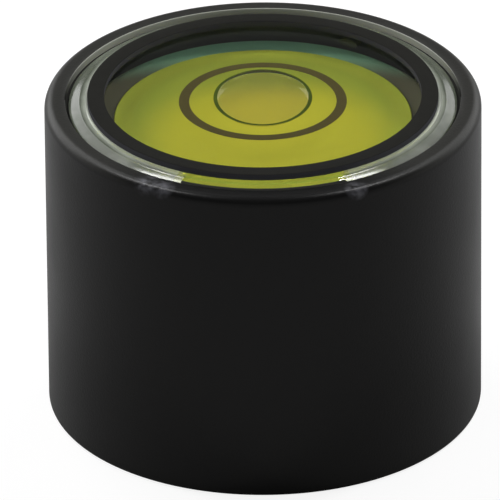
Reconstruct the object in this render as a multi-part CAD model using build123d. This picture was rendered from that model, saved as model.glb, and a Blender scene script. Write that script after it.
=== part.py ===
from build123d import *
import os
from math import sqrt

# Bullseye level: a turned black aluminium cup with a round acrylic vial bedded in its bore.
# Millimetres, +Z up, the origin at the centre of the foot, so the cup stands on z = 0.
# Every piece but the bubble and the fill port is round about the Z axis.

# Overall size
overall_diameter = 25.4
overall_height = 19.72

# Housing: one turned cup with a solid floor
rim_width = 1.22
rim_round = 0.55
foot_round = 0.25
bore_edge_break = 0.05

# Steps at the rim: the lens lies a hair below it, and the bezel ring stands on the lens
lens_recess = 0.02
bezel_thickness = 0.34
bezel_width = 0.98

# Vial: lens and wall are one clear moulding, open below, with a clear band outside the bezel ring
wall_thickness = 1.16
band_width = 1.06
land_margin = 0.08
land_bevel = 0.08
shoulder_drop = 0.20
shoulder_radius = 0.72

# Underside of the lens: a shallow dome, in which the bubble finds the highest point
lens_thickness = 0.30
ceiling_radius = 80.0

# Inside the chamber
floor_depth = 3.07
reflector_margin = 1.42
reflector_thickness = 0.30
base_thickness = 1.53
target_radius = 4.58
target_line_width = 0.60
print_thickness = 0.03
print_clearance = 0.02

# Gas bubble: a flattened drop under the lens, off centre towards the back
bubble_half_width = 2.78
bubble_half_length = 3.60
bubble_half_height = 0.40
bubble_girth_depth = 0.12
bubble_offset = 0.46

# Fill port through the vial's wall, above the base
port_diameter = 1.2
port_rise = 1.07
port_angle = 60.0

# Bedding of the vial in the housing
glue_gap = 0.22
glue_recess = 0.40
pad_thickness = 0.50
pad_clearance = 0.10

# Heights that follow from the sizes above
lens_z = overall_height - bezel_thickness
rim_z = lens_z + lens_recess
reflector_z = lens_z - floor_depth
plug_z = reflector_z - reflector_thickness
vial_bottom_z = plug_z - base_thickness
bore_floor_z = vial_bottom_z - pad_thickness

# Radii that follow from them, from the rim inwards
bore_radius = overall_diameter / 2 - rim_width
vial_radius = bore_radius - glue_gap
bezel_outer_radius = vial_radius - band_width
bezel_inner_radius = bezel_outer_radius - bezel_width
chamber_radius = vial_radius - wall_thickness
reflector_radius = chamber_radius - reflector_margin
ceiling_z = lens_z - lens_thickness


def disc(radius, bottom, top):
    """A plain cylinder between two heights."""
    return Pos(0, 0, bottom) * Cylinder(radius, top - bottom, align=(Align.CENTER, Align.CENTER, Align.MIN))


def tube(outer, inner, bottom, top):
    """A plain ring of square section between two heights."""
    return disc(outer, bottom, top) - disc(inner, bottom, top)


def dome(radius):
    """The ball whose top is the lens's underside, or lies parallel to it for a smaller radius."""
    return Pos(0, 0, ceiling_z - ceiling_radius) * Sphere(radius)


def chamber(bottom):
    """The space under the lens, from a given height up to the domed ceiling."""
    return disc(chamber_radius, bottom, lens_z) & dome(ceiling_radius)


def bubble():
    """The gas space: an oval drop that the ceiling cuts flat on top."""
    sag = ceiling_radius - sqrt(ceiling_radius**2 - bubble_offset**2)
    drop = scale(Sphere(1), by=(bubble_half_width, bubble_half_length, bubble_half_height))
    return Pos(0, bubble_offset, ceiling_z - sag - bubble_girth_depth) * drop


def fill_port():
    """The radial hole through the vial's wall, and with it the plug's outline."""
    wall = tube(vial_radius, chamber_radius, vial_bottom_z, lens_z)
    bar = Cylinder(port_diameter / 2, 2 * vial_radius, align=(Align.CENTER, Align.CENTER, Align.MIN))
    return Rot(0, 0, port_angle) * Pos(0, 0, plug_z + port_rise) * Rot(0, 90, 0) * bar & wall


def make_housing():
    """The cup, with a rounded rim and foot and a blind bore for the vial."""
    cup = disc(overall_diameter / 2, 0, rim_z) - disc(bore_radius, bore_floor_z, rim_z)
    rim_edges = cup.edges().group_by(Axis.Z)[-1].sort_by(SortBy.RADIUS)
    cup = fillet(rim_edges[-1], rim_round)
    foot_edge = cup.edges().group_by(Axis.Z)[0].sort_by(SortBy.RADIUS)[-1]
    cup = fillet(foot_edge, foot_round)
    bore_edge = cup.edges().group_by(Axis.Z)[-1].sort_by(SortBy.RADIUS)[0]
    return chamfer(bore_edge, bore_edge_break)


def make_vial_body():
    """Lens and wall in one: a land for the bezel ring, a flat band and a rounded shoulder."""
    land_radius = bezel_outer_radius + land_margin
    band_z = lens_z - land_bevel
    shoulder_width = sqrt(2 * shoulder_radius * shoulder_drop - shoulder_drop**2)
    shoulder_start = (vial_radius - shoulder_width, band_z)
    shoulder_end = (vial_radius, band_z - shoulder_drop)
    outline = Polyline(
        shoulder_end,
        (vial_radius, vial_bottom_z),
        (0, vial_bottom_z),
        (0, lens_z),
        (land_radius, lens_z),
        (land_radius + land_bevel, band_z),
        shoulder_start,
    )
    shoulder = TangentArc(shoulder_start, shoulder_end, tangent=(1, 0))
    blank = revolve(Plane.XZ * make_face(outline + shoulder), Axis.Z)
    return blank - chamber(vial_bottom_z) - fill_port()


def make_bezel_ring():
    """The flat black ring stuck on the lens."""
    return tube(bezel_outer_radius, bezel_inner_radius, lens_z, overall_height)


def target_recess():
    """What the printed circle takes from the liquid, from its underside up to the lens."""
    half_line = target_line_width / 2
    band = tube(target_radius + half_line, target_radius - half_line, reflector_z, lens_z)
    return band - dome(ceiling_radius - print_clearance - print_thickness)


def make_target_ring():
    """The printed circle, a thin film on the lens's domed underside."""
    return target_recess() & dome(ceiling_radius - print_clearance)


def make_reflector_disc():
    """The yellow-green disc on the chamber's floor."""
    return disc(reflector_radius, plug_z, reflector_z)


def make_vial_base():
    """The plug that closes the chamber from below, welded flush with the vial's foot."""
    return disc(chamber_radius, vial_bottom_z, plug_z)


def make_spirit_fill():
    """The liquid: all of the chamber but the disc, the print and the bubble."""
    return chamber(plug_z) - make_reflector_disc() - target_recess() - bubble()


def make_bedding_pad():
    """The pale pad between the vial's foot and the floor of the bore."""
    return disc(bore_radius - pad_clearance, bore_floor_z, vial_bottom_z)


def make_glue_line():
    """The black adhesive between the vial's wall and the bore, a little below the rim."""
    return tube(bore_radius, vial_radius, vial_bottom_z, rim_z - glue_recess)


pieces = {
    "housing": make_housing,
    "vial_body": make_vial_body,
    "bezel_ring": make_bezel_ring,
    "target_ring": make_target_ring,
    "reflector_disc": make_reflector_disc,
    "vial_base": make_vial_base,
    "spirit_fill": make_spirit_fill,
    "fill_plug": fill_port,
    "bedding_pad": make_bedding_pad,
    "glue_line": make_glue_line,
}

os.makedirs("parts", exist_ok=True)
for name, make in pieces.items():
    export_step(make(), f"parts/{name}.step")
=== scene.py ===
from math import asin, cos, pi, radians, sin, sqrt

import bmesh
import bpy
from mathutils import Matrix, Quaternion, Vector


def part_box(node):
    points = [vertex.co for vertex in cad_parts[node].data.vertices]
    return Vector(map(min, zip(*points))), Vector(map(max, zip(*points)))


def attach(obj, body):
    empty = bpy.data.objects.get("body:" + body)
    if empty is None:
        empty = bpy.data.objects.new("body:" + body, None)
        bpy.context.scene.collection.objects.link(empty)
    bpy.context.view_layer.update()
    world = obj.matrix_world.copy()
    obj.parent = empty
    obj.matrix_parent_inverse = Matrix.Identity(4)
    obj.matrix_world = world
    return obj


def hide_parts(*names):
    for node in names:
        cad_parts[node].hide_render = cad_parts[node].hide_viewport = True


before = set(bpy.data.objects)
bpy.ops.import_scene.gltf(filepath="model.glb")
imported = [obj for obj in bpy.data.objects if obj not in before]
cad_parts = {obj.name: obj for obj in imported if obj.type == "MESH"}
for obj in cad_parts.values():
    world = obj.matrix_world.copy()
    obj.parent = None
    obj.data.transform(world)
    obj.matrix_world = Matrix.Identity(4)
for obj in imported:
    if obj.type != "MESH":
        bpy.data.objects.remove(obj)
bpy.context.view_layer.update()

# Bullseye level: a black turned cup with a clear liquid vial in its top. Metres throughout.
MM = 0.001
ROUND_STEPS = 256
SHARP_ANGLE = radians(28)

# Sizes of the turned pieces, read from the frame
HOUSING_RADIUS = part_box("housing")[1].x
RIM_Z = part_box("housing")[1].z
BORE_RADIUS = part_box("glue_line")[1].x
BORE_FLOOR_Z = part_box("bedding_pad")[0].z
VIAL_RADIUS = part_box("vial_body")[1].x
LENS_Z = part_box("vial_body")[1].z
VIAL_BOTTOM_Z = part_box("vial_body")[0].z
CHAMBER_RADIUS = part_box("vial_base")[1].x
PLUG_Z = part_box("vial_base")[1].z
BEZEL_LOW, BEZEL_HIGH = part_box("bezel_ring")
REFLECTOR_LOW, REFLECTOR_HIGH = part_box("reflector_disc")
GLUE_TOP_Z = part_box("glue_line")[1].z
TARGET_OUTER_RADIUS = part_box("target_ring")[1].x

# Sizes of the CAD model that no box gives
RIM_ROUND = 0.55 * MM
FOOT_ROUND = 0.25 * MM
BORE_BREAK = 0.05 * MM
BEZEL_WIDTH = 0.98 * MM
LAND_MARGIN = 0.08 * MM
LAND_BEVEL = 0.08 * MM
SHOULDER_DROP = 0.20 * MM
SHOULDER_RADIUS = 0.72 * MM
LENS_THICKNESS = 0.30 * MM
CEILING_Z = LENS_Z - LENS_THICKNESS
CEILING_RADIUS = 80 * MM
TARGET_LINE_WIDTH = 0.60 * MM
PRINT_THICKNESS = 0.03 * MM
BUBBLE_HALF_WIDTH = 2.78 * MM
BUBBLE_HALF_LENGTH = 3.60 * MM
BUBBLE_HALF_HEIGHT = 0.40 * MM
BUBBLE_GIRTH_DEPTH = 0.12 * MM
BUBBLE_OFFSET = 0.46 * MM

# Small edges that the CAD model leaves out: on the bezel ring, on the disc and in the top of the glue
BEZEL_BREAK = 0.05 * MM
REFLECTOR_BREAK = 0.08 * MM
GLUE_DIP = 0.05 * MM

# Width of the dark edge round the bubble, where the spirit creeps up to the lens; its dark green is painted
# shade
MENISCUS = 0.22 * MM

# Pieces that are wetted, welded or glued to clear ones sink this far into them, so that no air shows between
WETTING = 0.02 * MM

# The turned band starts this far in under the bezel ring
BAND_TUCK = 0.1 * MM

# Finish of the vial's band, by distance from the axis: palest inside, a painted highlight, buffed and glued
# at the edge
BAND_PALE_TO = 10.27 * MM
BAND_MIDDLE = 10.72 * MM
BAND_OUTER_FROM = 11.12 * MM
BUFFED_FROM = 10.66 * MM
BUFFED_TO = 11.15 * MM
BUFFED_SLOPE = 0.6
GLUED_FROM = 10.99 * MM

# Round the band, the share to the side that the clear part and each step reach, with each step's clearness
CLEAR_BAND_SHARE = 0.43
VEILED_STEPS = ((0.455, 0.85), (0.48, 0.65))
MILKY_CLEARNESS = 0.3

# The vial's finishes and the spirit's, by their place in the piece's list of materials
POLISHED, WETTED_SIDE, TURNED, GLUED, VEILED = range(5)
DARKENED_FRONT = VEILED + len(VEILED_STEPS)
OPEN_SURFACE, CONTAINED, EDGE = range(3)

# Painted highlights on the shoulder, where the lamps glint on it at front left and right, and how far round
# each place
PAINTED_HIGHLIGHT_SPOTS = (
    ((-6.7 * MM, -10.3 * MM, RIM_Z), 0.9 * MM), ((-5.8 * MM, -10.9 * MM, RIM_Z), 0.8 * MM),
    ((5.3 * MM, -11.2 * MM, RIM_Z), 0.8 * MM),
)

# The shoulder's glossier front, painted darker as painted shade, runs out between these two Y, and its own
# look sets in between these two Z; the rest of the shoulder is painted paler, painted light
GLOSSY_FRONT = (-11.5 * MM, -7 * MM)
SHOULDER_HEIGHTS = (RIM_Z - 0.5 * MM, RIM_Z - 0.15 * MM)

# How much light slows in the clear acrylic and in the spirit
ACRYLIC_IOR = 1.49
SPIRIT_IOR = 1.41

# A place far in front, from which colours that drift from front to back are measured
FAR_FRONT = -20 * MM

# Lamps round the vial: name, direction, distance, size and radiance, where 1 shows as white
SOFTBOXES = (
    ("panel_left", (-0.557, 0.663, 0.50), 0.5, (0.42, 0.42), 2.3),
    ("panel_right", (0.557, 0.663, 0.50), 0.5, (0.42, 0.42), 1.6),
    ("strip_left", (-0.45, 0.20, 0.87), 0.35, (0.05, 0.08), 28),
    ("strip_right", (0.40, 0.20, 0.89), 0.35, (0.045, 0.07), 31),
)

# The table lies a hair below the foot, and reaches this far
TABLE_GAP = 0.02 * MM
TABLE_HALF_SIZE = 3

# Camera, from the ellipses of the rings in the 500 by 500 photograph
PHOTO_SIZE = 500
CAMERA_ELEVATION = radians(28.1)
CAMERA_ROLL = radians(-0.48)
CAMERA_DISTANCE = 0.700
FOCAL_PIXELS = 12060
TOP_CENTRE_PIXEL = (262.8, 93.2)
SENSOR_WIDTH = 36


def linear(hex_colour):
    """An sRGB colour such as "A8A536" as linear red, green, blue and 1."""
    channels = [int(hex_colour[i:i + 2], 16) / 255 for i in (0, 2, 4)]
    return [c / 12.92 if c <= 0.04045 else ((c + 0.055) / 1.055) ** 2.4 for c in channels] + [1]


def add_node(tree, kind, inputs=None, **settings):
    """Adds a node with settings, and sets or links its inputs. A Mix has its colours at inputs 6 and 7."""
    node = tree.nodes.new(kind)
    for name, value in settings.items():
        setattr(node, name, value)
    for name, value in (inputs or {}).items():
        if isinstance(value, bpy.types.NodeSocket):
            tree.links.new(value, node.inputs[name])
        else:
            node.inputs[name].default_value = value
    return node


def new_material(name):
    """An empty material with its output node and the piece's own coordinates."""
    material = bpy.data.materials.new(name)
    material.use_nodes = True
    tree = material.node_tree
    tree.nodes.clear()
    output = add_node(tree, "ShaderNodeOutputMaterial")
    place = add_node(tree, "ShaderNodeTexCoord").outputs["Object"]
    return material, tree, output, place


def axis_distance(tree, place):
    """How far a point is from the Z axis."""
    axes = add_node(tree, "ShaderNodeSeparateXYZ", {0: place}).outputs
    level = add_node(tree, "ShaderNodeCombineXYZ", {"X": axes["X"], "Y": axes["Y"]}).outputs[0]
    return add_node(tree, "ShaderNodeVectorMath", {0: level}, operation="LENGTH").outputs["Value"]


def eased_shoulder(tree, place):
    """Tilts the outer band as a buff leaves it: most at its inner start, easing out towards the edge."""
    way = add_node(tree, "ShaderNodeMapRange", {
        "Value": axis_distance(tree, place), "From Min": BUFFED_FROM, "From Max": BUFFED_TO,
    }).outputs[0]
    square = add_node(tree, "ShaderNodeMath", {0: way, 1: way}, operation="MULTIPLY").outputs[0]
    fall = add_node(tree, "ShaderNodeMath", {0: square, 1: -0.5, 2: way}, operation="MULTIPLY_ADD")
    return add_node(tree, "ShaderNodeBump", {
        "Height": fall.outputs[0], "Strength": 1.0, "Distance": -BUFFED_SLOPE * (BUFFED_TO - BUFFED_FROM),
    }).outputs[0]


def let_lamps_through(tree, body, output, lamp_tint):
    """Shows a body to every ray but the lamps' own, which pass it and only take on its tint."""
    lamp_way = add_node(tree, "ShaderNodeBsdfTransparent", {"Color": linear(lamp_tint)})
    path = add_node(tree, "ShaderNodeLightPath")
    mix = add_node(tree, "ShaderNodeMixShader", {
        0: path.outputs["Is Shadow Ray"], 1: body.outputs[0], 2: lamp_way.outputs[0],
    })
    tree.links.new(mix.outputs[0], output.inputs["Surface"])


def clear_material(name, tint, ior, lamp_tint, buffed=False):
    """A clear, unblurred material that lets the lamps' light through to what it holds."""
    material, tree, output, place = new_material(name)
    body = add_node(tree, "ShaderNodeBsdfPrincipled", {
        "Base Color": linear(tint), "Roughness": 0.0, "IOR": ior, "Transmission Weight": 1.0,
    })
    if buffed:
        tree.links.new(eased_shoulder(tree, place), body.inputs["Normal"])
    let_lamps_through(tree, body, output, lamp_tint)
    return material


def clear_acrylic():
    """Polished cast acrylic: colourless face on, faintly green in depth, with sharp reflections."""
    return clear_material("clear_acrylic", "FCFDFB", ACRYLIC_IOR, "FAFCF9", buffed=True)


def darkened_front_acrylic():
    """The clear part of the band in front, tinted darker and bluish: painted shade that dims the disc seen
    through it and makes it greener.
    """
    return clear_material("clear_acrylic_darkened_front", "BCCAF0", ACRYLIC_IOR, "FAFCF9", buffed=True)


def wetted_acrylic():
    """The same acrylic where the spirit wets it: light hardly bends or glances off there."""
    return clear_material("clear_acrylic_wetted", "FFFFFF", ACRYLIC_IOR / SPIRIT_IOR, "FFFFFF")


def turned_acrylic(name, clearness):
    """Acrylic as the tool left it: milky grey in soft patches, the grey partly painted light for what the
    band mirrors. Palest along the band's inner edge, a painted highlight, and darkest from the middle
    outwards, painted shade where the sloping edge catches the lamps.
    """
    material, tree, output, place = new_material(name)
    patch_size = 2 * MM
    radius = axis_distance(tree, place)
    inner = add_node(tree, "ShaderNodeMapRange", {
        "Value": radius, "From Min": BAND_PALE_TO, "From Max": BAND_MIDDLE, "To Min": 1.0, "To Max": 0.0,
    }, interpolation_type="SMOOTHSTEP").outputs[0]
    outer = add_node(tree, "ShaderNodeMapRange", {
        "Value": radius, "From Min": BAND_MIDDLE, "From Max": BAND_OUTER_FROM, "To Min": 0.0, "To Max": 0.05,
    }, interpolation_type="SMOOTHSTEP").outputs[0]
    patches = add_node(tree, "ShaderNodeTexNoise", {"Vector": place, "Scale": 1 / patch_size})
    soft = add_node(tree, "ShaderNodeMapRange", {
        "Value": patches.outputs["Fac"], "From Min": 0.3, "From Max": 0.7, "To Min": -0.15, "To Max": 0.15,
    }).outputs[0]
    bands = add_node(tree, "ShaderNodeMath", {0: inner, 1: outer}, operation="ADD").outputs[0]
    tone = add_node(tree, "ShaderNodeMath", {0: bands, 1: soft}, operation="ADD", use_clamp=True).outputs[0]
    colour = add_node(tree, "ShaderNodeMix", {
        0: tone, 6: linear("646B5D"), 7: linear("C8CEC1"),
    }, data_type="RGBA")
    surface = add_node(tree, "ShaderNodeBsdfPrincipled", {
        "Base Color": colour.outputs[2], "Roughness": 0.16, "IOR": ACRYLIC_IOR,
        "Transmission Weight": clearness, "Specular IOR Level": 0.35, "Normal": eased_shoulder(tree, place),
    })
    tree.links.new(surface.outputs[0], output.inputs["Surface"])
    return material


def tinted_spirit():
    """Dyed spirit at the bubble's surface: sharp reflections, and below a warmer, darker tint than the spirit
    elsewhere, painted shade that dims the disc seen through the bubble.
    """
    return clear_material("tinted_spirit", "F8EBCA", SPIRIT_IOR, "F4F8E6")


def contained_spirit():
    """The same spirit where it wets the acrylic, which takes over the bending of light."""
    return clear_material("tinted_spirit_contained", "F0F6DC", 1.0, "F4F8E6")


def spirit_meniscus():
    """The spirit's curved edge round the bubble, which turns light away: painted shade, an opaque dark green
    line that the lamps pass.
    """
    material, tree, output, _ = new_material("tinted_spirit_meniscus")
    body = add_node(tree, "ShaderNodeBsdfPrincipled", {
        "Base Color": linear("3A480E"), "Roughness": 0.5, "Specular IOR Level": 0.0,
    })
    let_lamps_through(tree, body, output, "FFFFFF")
    return material


def painted_highlight_share(tree, place):
    """How much painted highlight there is: flecks round the highlight spots, and none elsewhere."""
    fleck_size = 0.45 * MM
    near = 0.0
    for spot, reach in PAINTED_HIGHLIGHT_SPOTS:
        away = add_node(tree, "ShaderNodeVectorMath", {0: place, 1: spot}, operation="DISTANCE")
        about = add_node(tree, "ShaderNodeMapRange", {
            "Value": away.outputs["Value"], "From Min": 0.2 * reach, "From Max": reach,
            "To Min": 1.0, "To Max": 0.0,
        })
        near = add_node(tree, "ShaderNodeMath", {
            0: about.outputs[0], 1: near,
        }, operation="MAXIMUM").outputs[0]
    flecks = add_node(tree, "ShaderNodeTexNoise", {"Vector": place, "Scale": 1 / fleck_size, "Detail": 2.0})
    glint = add_node(tree, "ShaderNodeMapRange", {
        "Value": flecks.outputs["Fac"], "From Min": 0.35, "From Max": 0.75,
    })
    return add_node(tree, "ShaderNodeMath", {0: glint.outputs[0], 1: near}, operation="MULTIPLY").outputs[0]


def anodised_aluminium():
    """Bead-blasted aluminium, anodised black and satin. Its shoulder is glossier in front and painted darker
    there, painted shade, and painted paler elsewhere, painted light, with painted highlights at front left
    and right.

    The blasted grain is finer than a pixel, so it is drawn about three times as coarse.
    """
    material, tree, output, place = new_material("anodised_aluminium_black")
    bead = 0.14 * MM
    cloud = 4 * MM
    grain = add_node(tree, "ShaderNodeTexNoise", {"Vector": place, "Scale": 1 / bead, "Detail": 3.0})
    patches = add_node(tree, "ShaderNodeTexNoise", {"Vector": place, "Scale": 1 / cloud, "Detail": 2.0})
    plain = add_node(tree, "ShaderNodeMix", {
        0: patches.outputs["Fac"], 6: linear("111111"), 7: linear("151514"),
    }, data_type="RGBA")
    satin = add_node(tree, "ShaderNodeMapRange", {
        "Value": patches.outputs["Fac"], "To Min": 0.33, "To Max": 0.43,
    })
    bump = add_node(tree, "ShaderNodeBump", {
        "Height": grain.outputs["Fac"], "Strength": 0.35, "Distance": 0.03 * MM,
    })
    axes = add_node(tree, "ShaderNodeSeparateXYZ", {0: place}).outputs
    in_front = add_node(tree, "ShaderNodeMapRange", {
        "Value": axes["Y"], "From Min": GLOSSY_FRONT[0], "From Max": GLOSSY_FRONT[1],
        "To Min": 1.0, "To Max": 0.0,
    }, interpolation_type="SMOOTHSTEP").outputs[0]
    on_shoulder = add_node(tree, "ShaderNodeMapRange", {
        "Value": axes["Z"], "From Min": SHOULDER_HEIGHTS[0], "From Max": SHOULDER_HEIGHTS[1],
    }).outputs[0]
    front = add_node(tree, "ShaderNodeMath", {0: in_front, 1: on_shoulder}, operation="MULTIPLY").outputs[0]
    behind = add_node(tree, "ShaderNodeMath", {0: on_shoulder, 1: front}, operation="SUBTRACT").outputs[0]
    roughness = add_node(tree, "ShaderNodeMapRange", {
        "Value": front, "To Min": satin.outputs[0], "To Max": 0.3,
    })
    coat_and_painted_light = plain
    # Painted shade darkens the shoulder's front, painted light makes the rest of the shoulder paler, and the
    # painted highlights go on as pale grey flecks
    for share, colour in ((front, "050505"), (behind, "262623"), (painted_highlight_share(tree, place), "707076")):
        coat_and_painted_light = add_node(tree, "ShaderNodeMix", {
            0: share, 6: coat_and_painted_light.outputs[2], 7: linear(colour),
        }, data_type="RGBA")
    surface = add_node(tree, "ShaderNodeBsdfPrincipled", {
        "Base Color": coat_and_painted_light.outputs[2], "Roughness": roughness.outputs[0], "Normal": bump.outputs[0],
        "Specular IOR Level": 0.21,
    })
    tree.links.new(surface.outputs[0], output.inputs["Surface"])
    return material


def moulded_material(name, colours, roughness, grain_size, grain_depth, shine=0.5):
    """A moulded or coated surface: two close colours in soft patches and a fine even grain.

    The grain is finer than a pixel on the real pieces, so it is drawn coarser.
    """
    material, tree, output, place = new_material(name)
    patch_size = grain_size / 0.12
    grain = add_node(tree, "ShaderNodeTexNoise", {"Vector": place, "Scale": 1 / grain_size, "Detail": 2.0})
    patches = add_node(tree, "ShaderNodeTexNoise", {"Vector": place, "Scale": 1 / patch_size})
    colour = add_node(tree, "ShaderNodeMix", {
        0: patches.outputs["Fac"], 6: linear(colours[0]), 7: linear(colours[1]),
    }, data_type="RGBA")
    bump = add_node(tree, "ShaderNodeBump", {
        "Height": grain.outputs["Fac"], "Strength": 0.3, "Distance": grain_depth,
    })
    surface = add_node(tree, "ShaderNodeBsdfPrincipled", {
        "Base Color": colour.outputs[2], "Roughness": roughness, "Normal": bump.outputs[0],
        "Specular IOR Level": shine,
    })
    tree.links.new(surface.outputs[0], output.inputs["Surface"])
    return material


def drifting_material(name, near, far, centre, reach, grain_size, edge=None):
    """A dull body whose colour drifts with distance from a centre, with another at its edge if given.

    The real grain is finer than a pixel, so it is drawn coarser.
    """
    material, tree, output, place = new_material(name)
    grain = add_node(tree, "ShaderNodeTexNoise", {"Vector": place, "Scale": 1 / grain_size, "Detail": 2.0})
    away = add_node(tree, "ShaderNodeVectorMath", {0: place, 1: centre}, operation="DISTANCE")
    drift = add_node(tree, "ShaderNodeMapRange", {
        "Value": away.outputs["Value"], "From Min": reach[0], "From Max": reach[1],
    }, interpolation_type="SMOOTHSTEP")
    colour = add_node(tree, "ShaderNodeMix", {
        0: drift.outputs[0], 6: linear(near), 7: linear(far),
    }, data_type="RGBA")
    if edge:
        edge_colour, edge_from, edge_to = edge
        outwards = add_node(tree, "ShaderNodeMapRange", {
            "Value": axis_distance(tree, place), "From Min": edge_from, "From Max": edge_to,
        }, interpolation_type="SMOOTHSTEP")
        colour = add_node(tree, "ShaderNodeMix", {
            0: outwards.outputs[0], 6: colour.outputs[2], 7: linear(edge_colour),
        }, data_type="RGBA")
    bump = add_node(tree, "ShaderNodeBump", {
        "Height": grain.outputs["Fac"], "Strength": 0.3, "Distance": 0.01 * MM,
    })
    surface = add_node(tree, "ShaderNodeBsdfPrincipled", {
        "Base Color": colour.outputs[2], "Roughness": 0.7, "Normal": bump.outputs[0],
        "Specular IOR Level": 0.05,
    })
    tree.links.new(surface.outputs[0], output.inputs["Surface"])
    return material


def painted_bore_highlight():
    """A painted highlight on the bore's mouth at the back: a pale line that fades towards the sides."""
    centre = (0, FAR_FRONT, RIM_Z)
    reach = (23 * MM, 29 * MM)
    return drifting_material("anodised_aluminium_painted_highlight", "0F0F0F", "B6B8AE", centre, reach, 0.14 * MM)


def fluorescent_film():
    """Yellow film under the spirit with its light and shade painted on: warm and bright in front and in the
    middle, darker and greener behind as painted shade from the bezel ring, and painted paler at its edge,
    painted light.
    """
    centre = (0.3 * MM, -2.4 * MM, REFLECTOR_HIGH.z)
    reach = (5.2 * MM, 8.4 * MM)
    edge = ("ACB044", 7.2 * MM, 8.6 * MM)
    return drifting_material("fluorescent_film", "B0A934", "8A9036", centre, reach, 0.3 * MM, edge)


def grey_abs_with_painted_light():
    """Dark grey moulded ABS, painted paler and teal towards the back: painted light for the green light that
    reaches it there from the disc and the spirit.
    """
    centre = (0, FAR_FRONT, PLUG_Z)
    reach = (26 * MM, 29.5 * MM)
    return drifting_material("abs_grey", "5E5A50", "8EC2B6", centre, reach, 0.15 * MM)


def black_abs():
    """Moulded black ABS, finely matt: an even black that mirrors nothing."""
    return moulded_material("abs_black", ("272725", "2B2B29"), 0.8, 0.08 * MM, 0.01 * MM, 0.0)


def black_abs_lightened_sides():
    """The same ABS on the ring's sides, painted paler than its top: painted light, so that the sides, which
    get less light, show as dark as the top.
    """
    return moulded_material("abs_black_lightened_sides", ("4C4C50", "505054"), 0.9, 0.08 * MM, 0.01 * MM, 0.0)


def printed_ink():
    """Screen-printed ink on clear plastic: a flat dark olive."""
    return moulded_material("printed_ink", ("453E20", "494224"), 0.6, 0.05 * MM, 0.002 * MM, 0.0)


def black_epoxy():
    """Black adhesive, cured dull, a shade paler than the black of the ring."""
    return moulded_material("black_epoxy", ("343432", "373735"), 0.5, 0.2 * MM, 0.0005 * MM, 0.0)


def black_epoxy_painted_light():
    """The same adhesive on its face against the vial's wall, painted a paler, bluish grey: painted light on a
    face in shade, seen through the clear acrylic.
    """
    return moulded_material("black_epoxy_painted_light", ("66666E", "6A6A72"), 0.5, 0.2 * MM, 0.0005 * MM, 0.0)


def dark_rubber():
    """Moulded rubber, matt, painted a mid grey so that it shows as dark through the spirit as the adhesive
    beside it: painted light, like the adhesive's.
    """
    return moulded_material("rubber_black", ("62625E", "666662"), 0.7, 0.1 * MM, 0.01 * MM, 0.0)


def pale_silicone():
    """Cast silicone: pale grey with a soft sheen."""
    return moulded_material("silicone_pale", ("C8CCC0", "BEC2B6"), 0.5, 0.4 * MM, 0.02 * MM)


def turned(outline, closed=False):
    """Turns an outline of (radius, height) corners about the Z axis. An open one starts and ends on it."""
    bm = bmesh.new()
    corners = [bm.verts.new((radius, 0, height)) for radius, height in outline]
    sides = list(zip(corners, corners[1:]))
    if closed:
        sides.append((corners[-1], corners[0]))
    for side in sides:
        bm.edges.new(side)
    bmesh.ops.spin(
        bm, geom=bm.verts[:] + bm.edges[:], cent=(0, 0, 0), axis=(0, 0, 1), dvec=(0, 0, 0),
        angle=2 * pi, steps=ROUND_STEPS, use_merge=True,
    )
    bmesh.ops.remove_doubles(bm, verts=bm.verts[:], dist=0.0005 * MM)
    bmesh.ops.recalc_face_normals(bm, faces=bm.faces[:])
    return bm


def hoop(bm, radius, height):
    """The edges of the circle at a radius and height."""
    near = 0.002 * MM
    on_it = {
        v for v in bm.verts
        if abs(v.co.xy.length - radius) < near and abs(v.co.z - height) < near
    }
    return [e for e in bm.edges if e.verts[0] in on_it and e.verts[1] in on_it]


def round_off(bm, radius, height, size, segments):
    """Rounds the edge at a radius and height."""
    bmesh.ops.bevel(
        bm, geom=hoop(bm, radius, height), offset=size, offset_type="OFFSET", segments=segments,
        profile=0.5, affect="EDGES", material=-1, clamp_overlap=True,
    )


def place_piece(bm, name, materials, replaces):
    """Makes the object, gives it its materials and ties it to the frame."""
    mesh = bpy.data.meshes.new(name)
    bm.to_mesh(mesh)
    bm.free()
    for material in materials:
        mesh.materials.append(material)
    mesh.shade_smooth()
    mesh.set_sharp_from_angle(angle=SHARP_ANGLE)
    piece = bpy.data.objects.new(name, mesh)
    bpy.context.scene.collection.objects.link(piece)
    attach(piece, "root")
    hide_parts(replaces)
    return piece


def ceiling_height(radius):
    """The height of the lens's domed underside at a distance from the axis."""
    return CEILING_Z - CEILING_RADIUS + sqrt(CEILING_RADIUS**2 - radius**2)


def under_ceiling(depth):
    """A height that stays the same depth below the lens's underside."""
    return lambda radius: ceiling_height(radius) - depth


def flat(height):
    """The same height everywhere."""
    return lambda radius: height


def lofted(rings):
    """Skins oval rings of half width, half length, centre and height, each reached by faces of a finish."""
    bm = bmesh.new()
    bmesh.ops.create_circle(bm, segments=ROUND_STEPS, radius=1)
    loop = bm.edges[:]
    last = (1, 1, 0)
    for number, (half_width, half_length, centre, height, finish) in enumerate(rings):
        if number > 0:
            made = bmesh.ops.extrude_edge_only(bm, edges=loop)["geom"]
            fresh = {v for v in made if isinstance(v, bmesh.types.BMVert)}
            loop = [e for e in made if isinstance(e, bmesh.types.BMEdge) and set(e.verts) <= fresh]
            for face in [f for f in made if isinstance(f, bmesh.types.BMFace)]:
                face.material_index = finish
        for v in {v for e in loop for v in e.verts}:
            v.co.x *= half_width / last[0]
            v.co.y = centre + (v.co.y - last[2]) * half_length / last[1]
            v.co.z = height(v.co.xy.length)
        last = (half_width, half_length, centre)
        if number in (0, len(rings) - 1):
            bmesh.ops.edgeloop_fill(bm, edges=loop, mat_nr=finish)
    bmesh.ops.recalc_face_normals(bm, faces=bm.faces[:])
    return bm


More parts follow.
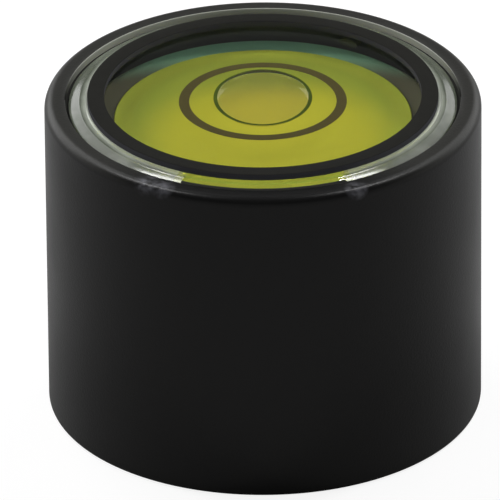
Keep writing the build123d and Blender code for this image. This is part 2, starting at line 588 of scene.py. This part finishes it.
def bubble_lip():
    """Half width, half length and centre of the bubble where it meets the lens."""
    share = sqrt(1 - (BUBBLE_GIRTH_DEPTH / BUBBLE_HALF_HEIGHT)**2)
    return BUBBLE_HALF_WIDTH * share, BUBBLE_HALF_LENGTH * share, BUBBLE_OFFSET


def ceiling_rings(radius, depth, finish, edge_finish, count=20):
    """Rings on the lens's underside, from the bubble's lip over its dark edge out to a circle."""
    half_width, half_length, centre = bubble_lip()
    rings = [(half_width, half_length, centre, under_ceiling(depth), finish)]
    lip = (half_width + MENISCUS, half_length + MENISCUS / 2, centre - MENISCUS / 3)
    for step in range(count + 1):
        way = step / count
        half_width, half_length, centre = [a + (b - a) * way for a, b in zip(lip, (radius, radius, 0))]
        reached_by = finish if step else edge_finish
        rings.append((half_width, half_length, centre, under_ceiling(depth), reached_by))
    return rings


def make_housing():
    """The turned cup, its rim and foot rounded."""
    bm = turned([
        (0, 0), (HOUSING_RADIUS, 0), (HOUSING_RADIUS, RIM_Z), (BORE_RADIUS, RIM_Z),
        (BORE_RADIUS, BORE_FLOOR_Z), (0, BORE_FLOOR_Z),
    ])
    round_off(bm, HOUSING_RADIUS, RIM_Z, RIM_ROUND, segments=12)
    round_off(bm, HOUSING_RADIUS, 0, FOOT_ROUND, segments=6)
    round_off(bm, BORE_RADIUS, RIM_Z, BORE_BREAK, segments=2)
    # The break of the bore at the back takes the painted highlight
    for face in bm.faces:
        middle = face.calc_center_median()
        if abs(middle.xy.length - BORE_RADIUS) < BORE_BREAK and middle.y > 0:
            face.material_index = 1
    place_piece(bm, "turned_cup", [anodised_aluminium(), painted_bore_highlight()], "housing")


def band_finish(middle):
    """The band's finish at a place: clear in front, glued at its edge, then veiled, milky elsewhere."""
    radius = middle.xy.length
    aside = abs(middle.x) / radius
    if middle.y > 0:
        return TURNED
    if aside < CLEAR_BAND_SHARE:
        return DARKENED_FRONT if radius < GLUED_FROM else GLUED
    for number, (share, _) in enumerate(VEILED_STEPS):
        if aside < share:
            return VEILED + number
    return TURNED


def make_vial(epoxy):
    """Lens and wall in one clear moulding."""
    land = BEZEL_HIGH.x + LAND_MARGIN
    band_z = LENS_Z - LAND_BEVEL
    outer = VIAL_RADIUS + WETTING
    bore = CHAMBER_RADIUS - WETTING
    foot_z = VIAL_BOTTOM_Z - WETTING
    sweep = asin(sqrt(2 * SHOULDER_RADIUS * SHOULDER_DROP - SHOULDER_DROP**2) / SHOULDER_RADIUS)
    start = outer - SHOULDER_RADIUS * sin(sweep)
    arc_steps = 10
    turns = [sweep * step / arc_steps for step in range(arc_steps + 1)]
    under_bezel = [(BEZEL_HIGH.x - BAND_TUCK, LENS_Z)]
    band = [(land, LENS_Z), (land + LAND_BEVEL, band_z)]
    band += [(start + SHOULDER_RADIUS * sin(a), band_z - SHOULDER_RADIUS * (1 - cos(a))) for a in turns]
    wall = [(outer, foot_z), (bore, foot_z)]
    rings = []
    for outline, finish in ((under_bezel, POLISHED), (band, TURNED), (wall, POLISHED)):
        rings += [(radius, radius, 0, flat(height), finish) for radius, height in outline]
    rings += ceiling_rings(bore, -WETTING, WETTED_SIDE, WETTED_SIDE)[::-1]
    half_width, half_length, centre = bubble_lip()
    for share in (0.8, 0.6, 0.4, 0.2, 0.02):
        rings.append((half_width * share, half_length * share, centre, under_ceiling(-WETTING), POLISHED))
    bm = lofted(rings)
    for face in bm.faces:
        if face.material_index == TURNED:
            face.material_index = band_finish(face.calc_center_median())
    finishes = [
        clear_acrylic(), wetted_acrylic(), turned_acrylic("clear_acrylic_turned", MILKY_CLEARNESS), epoxy,
    ]
    finishes += [turned_acrylic("clear_acrylic_veiled", clearness) for _, clearness in VEILED_STEPS]
    finishes.append(darkened_front_acrylic())
    place_piece(bm, "clear_vial", finishes, "vial_body")


def make_spirit():
    """The liquid, with the gas bubble's oval hollow under the lens."""
    lip_angle = pi / 2 + asin(BUBBLE_GIRTH_DEPTH / BUBBLE_HALF_HEIGHT)
    steps = 48
    rings = []
    for step in range(1, steps):
        angle = lip_angle * step / steps
        depth = BUBBLE_GIRTH_DEPTH + BUBBLE_HALF_HEIGHT * cos(angle)
        rings.append((
            BUBBLE_HALF_WIDTH * sin(angle), BUBBLE_HALF_LENGTH * sin(angle), BUBBLE_OFFSET,
            under_ceiling(depth), OPEN_SURFACE,
        ))
    half_width, half_length, centre = bubble_lip()
    rings.append((half_width, half_length, centre, under_ceiling(0), EDGE))
    rings += ceiling_rings(CHAMBER_RADIUS, 0, CONTAINED, EDGE)[1:]
    rings.append((CHAMBER_RADIUS, CHAMBER_RADIUS, 0, flat(PLUG_Z - WETTING), CONTAINED))
    bm = lofted(rings)
    finishes = [tinted_spirit(), contained_spirit(), spirit_meniscus()]
    place_piece(bm, "spirit", finishes, "spirit_fill")


def make_bezel():
    """The flat black ring stuck on the lens, its edges just broken."""
    outer = BEZEL_HIGH.x
    inner = outer - BEZEL_WIDTH
    foot = BEZEL_LOW.z - WETTING / 2
    bm = turned([(inner, foot), (outer, foot), (outer, BEZEL_HIGH.z), (inner, BEZEL_HIGH.z)], closed=True)
    for radius in (outer, inner):
        round_off(bm, radius, BEZEL_HIGH.z, BEZEL_BREAK, segments=3)
    # The steep sides take the paler black, painted light
    for face in bm.faces:
        if abs(face.normal.z) < 0.5:
            face.material_index = 1
    place_piece(bm, "bezel", [black_abs(), black_abs_lightened_sides()], "bezel_ring")


def make_target():
    """The printed circle on the lens's underside. So thin a print throws no shadow that shows."""
    outer = TARGET_OUTER_RADIUS
    inner = outer - TARGET_LINE_WIDTH
    top = WETTING / 2
    bm = turned([
        (inner, ceiling_height(inner) + top), (outer, ceiling_height(outer) + top),
        (outer, ceiling_height(outer) - PRINT_THICKNESS), (inner, ceiling_height(inner) - PRINT_THICKNESS),
    ], closed=True)
    circle = place_piece(bm, "printed_target", [printed_ink()], "target_ring")
    circle.visible_shadow = False


def make_reflector():
    """The yellow-green disc that makes the bubble easy to see."""
    bm = turned([
        (0, REFLECTOR_LOW.z), (REFLECTOR_HIGH.x, REFLECTOR_LOW.z), (REFLECTOR_HIGH.x, REFLECTOR_HIGH.z),
        (0, REFLECTOR_HIGH.z),
    ])
    round_off(bm, REFLECTOR_HIGH.x, REFLECTOR_HIGH.z, REFLECTOR_BREAK, segments=4)
    place_piece(bm, "reflector", [fluorescent_film()], "reflector_disc")


def make_glue(epoxy):
    """The black adhesive round the vial, its top drawn up a little at both sides."""
    middle = (VIAL_RADIUS + BORE_RADIUS) / 2
    bm = turned([
        (VIAL_RADIUS, VIAL_BOTTOM_Z), (BORE_RADIUS, VIAL_BOTTOM_Z), (BORE_RADIUS, GLUE_TOP_Z),
        (middle, GLUE_TOP_Z - GLUE_DIP), (VIAL_RADIUS, GLUE_TOP_Z),
    ], closed=True)
    # The inner face against the vial's wall takes the paler adhesive, painted light
    for face in bm.faces:
        if face.calc_center_median().xy.length < middle and abs(face.normal.z) < 0.5:
            face.material_index = 1
    place_piece(bm, "glue", [epoxy, black_epoxy_painted_light()], "glue_line")


def finish_hidden_nodes():
    """The plain pieces inside, which keep their CAD shape."""
    finishes = {"vial_base": grey_abs_with_painted_light(), "fill_plug": dark_rubber(), "bedding_pad": pale_silicone()}
    for node, material in finishes.items():
        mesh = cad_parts[node].data
        mesh.materials.clear()
        mesh.materials.append(material)


def make_floor():
    """A plain white table. To the camera it is white and keeps the shadow, and from below it isn't seen."""
    bm = bmesh.new()
    bmesh.ops.create_grid(bm, x_segments=1, y_segments=1, size=TABLE_HALF_SIZE)
    mesh = bpy.data.meshes.new("floor")
    bm.to_mesh(mesh)
    bm.free()
    floor = bpy.data.objects.new("floor", mesh)
    bpy.context.scene.collection.objects.link(floor)
    material, tree, output, _ = new_material("pale_paper")
    lit = add_node(tree, "ShaderNodeBsdfDiffuse", {"Color": linear("7F7F7F")})
    glow = add_node(tree, "ShaderNodeEmission", {"Color": (1, 1, 1, 1), "Strength": 0.86})
    white = add_node(tree, "ShaderNodeAddShader", {0: lit.outputs[0], 1: glow.outputs[0]})
    table = add_node(tree, "ShaderNodeBsdfDiffuse", {"Color": linear("BEBEBE")})
    path = add_node(tree, "ShaderNodeLightPath")
    above = add_node(tree, "ShaderNodeMixShader", {
        0: path.outputs["Is Camera Ray"], 1: table.outputs[0], 2: white.outputs[0],
    })
    below = add_node(tree, "ShaderNodeBsdfTransparent")
    side = add_node(tree, "ShaderNodeNewGeometry").outputs["Backfacing"]
    either = add_node(tree, "ShaderNodeMixShader", {0: side, 1: above.outputs[0], 2: below.outputs[0]})
    tree.links.new(either.outputs[0], output.inputs["Surface"])
    mesh.materials.append(material)
    floor.location = (0, 0, -TABLE_GAP)


def make_world():
    """White behind the object. What it mirrors is bright low down, dark straight behind and dim higher up."""
    dark = 0.11
    world = bpy.data.worlds.new("studio")
    bpy.context.scene.world = world
    world.use_nodes = True
    tree = world.node_tree
    tree.nodes.clear()
    output = add_node(tree, "ShaderNodeOutputWorld")
    way = add_node(tree, "ShaderNodeTexCoord").outputs["Generated"]
    axes = add_node(tree, "ShaderNodeSeparateXYZ", {0: way}).outputs
    round_about = add_node(tree, "ShaderNodeMapRange", {
        "Value": axes["Y"], "From Min": -0.6, "From Max": 0.5, "To Min": 0.5, "To Max": 1.1,
    }, interpolation_type="SMOOTHSTEP").outputs[0]
    low_level = add_node(tree, "ShaderNodeMapRange", {
        "Value": axes["Y"], "From Min": 0.8, "From Max": 0.95, "To Min": round_about, "To Max": dark,
    }, interpolation_type="SMOOTHSTEP").outputs[0]
    horizon = add_node(tree, "ShaderNodeMapRange", {
        "Value": axes["Z"], "From Min": 0.2, "From Max": 0.42, "To Min": low_level, "To Max": dark,
    }, interpolation_type="SMOOTHSTEP").outputs[0]
    overhead = add_node(tree, "ShaderNodeMapRange", {
        "Value": axes["Z"], "From Min": 0.55, "From Max": 0.85, "To Min": 0.0, "To Max": 0.15,
    }, interpolation_type="SMOOTHSTEP").outputs[0]
    room_level = add_node(tree, "ShaderNodeMath", {0: horizon, 1: overhead}, operation="ADD").outputs[0]
    seen = add_node(tree, "ShaderNodeBackground", {"Color": (1, 1, 1, 1), "Strength": 1.0})
    room = add_node(tree, "ShaderNodeBackground", {"Color": (1, 1, 1, 1), "Strength": room_level})
    path = add_node(tree, "ShaderNodeLightPath")
    mix = add_node(tree, "ShaderNodeMixShader", {
        0: path.outputs["Is Camera Ray"], 1: room.outputs[0], 2: seen.outputs[0],
    })
    tree.links.new(mix.outputs[0], output.inputs["Surface"])


def make_lights():
    """Soft panels behind at both sides and a small bright softbox above each, all facing the vial."""
    for name, direction, distance, size, radiance in SOFTBOXES:
        lamp = bpy.data.lights.new(name, "AREA")
        lamp.shape = "RECTANGLE"
        lamp.size, lamp.size_y = size
        lamp.energy = radiance * pi * size[0] * size[1]
        holder = bpy.data.objects.new(name, lamp)
        bpy.context.scene.collection.objects.link(holder)
        way = Vector(direction).normalized()
        holder.location = Vector((0, 0, LENS_Z)) + way * distance
        holder.rotation_euler = way.to_track_quat("Z", "Y").to_euler()


def make_camera():
    """The photograph's view, aimed so that the top of the bezel ring falls on its pixel."""
    camera = bpy.data.cameras.new("camera")
    camera.sensor_width = SENSOR_WIDTH
    camera.lens = FOCAL_PIXELS / PHOTO_SIZE * SENSOR_WIDTH
    camera.clip_start = 0.01
    holder = bpy.data.objects.new("camera", camera)
    bpy.context.scene.collection.objects.link(holder)
    ahead = Vector((0, cos(CAMERA_ELEVATION), -sin(CAMERA_ELEVATION)))
    turn = Quaternion(ahead, -CAMERA_ROLL)
    up = turn @ Vector((0, sin(CAMERA_ELEVATION), cos(CAMERA_ELEVATION)))
    right = turn @ Vector((1, 0, 0))
    pixel = CAMERA_DISTANCE / FOCAL_PIXELS
    across = (TOP_CENTRE_PIXEL[0] - PHOTO_SIZE / 2) * pixel
    above = (PHOTO_SIZE / 2 - TOP_CENTRE_PIXEL[1]) * pixel
    top_centre = Vector((0, 0, BEZEL_HIGH.z))
    holder.location = top_centre - ahead * CAMERA_DISTANCE - right * across - up * above
    holder.rotation_euler = (turn @ (-ahead).to_track_quat("Z", "Y")).to_euler()
    bpy.context.scene.camera = holder


adhesive = black_epoxy()
make_housing()
make_vial(adhesive)
make_spirit()
make_bezel()
make_target()
make_reflector()
make_glue(adhesive)
finish_hidden_nodes()
make_floor()
make_world()
make_lights()
make_camera()
bpy.context.scene.view_settings.view_transform = "Standard"
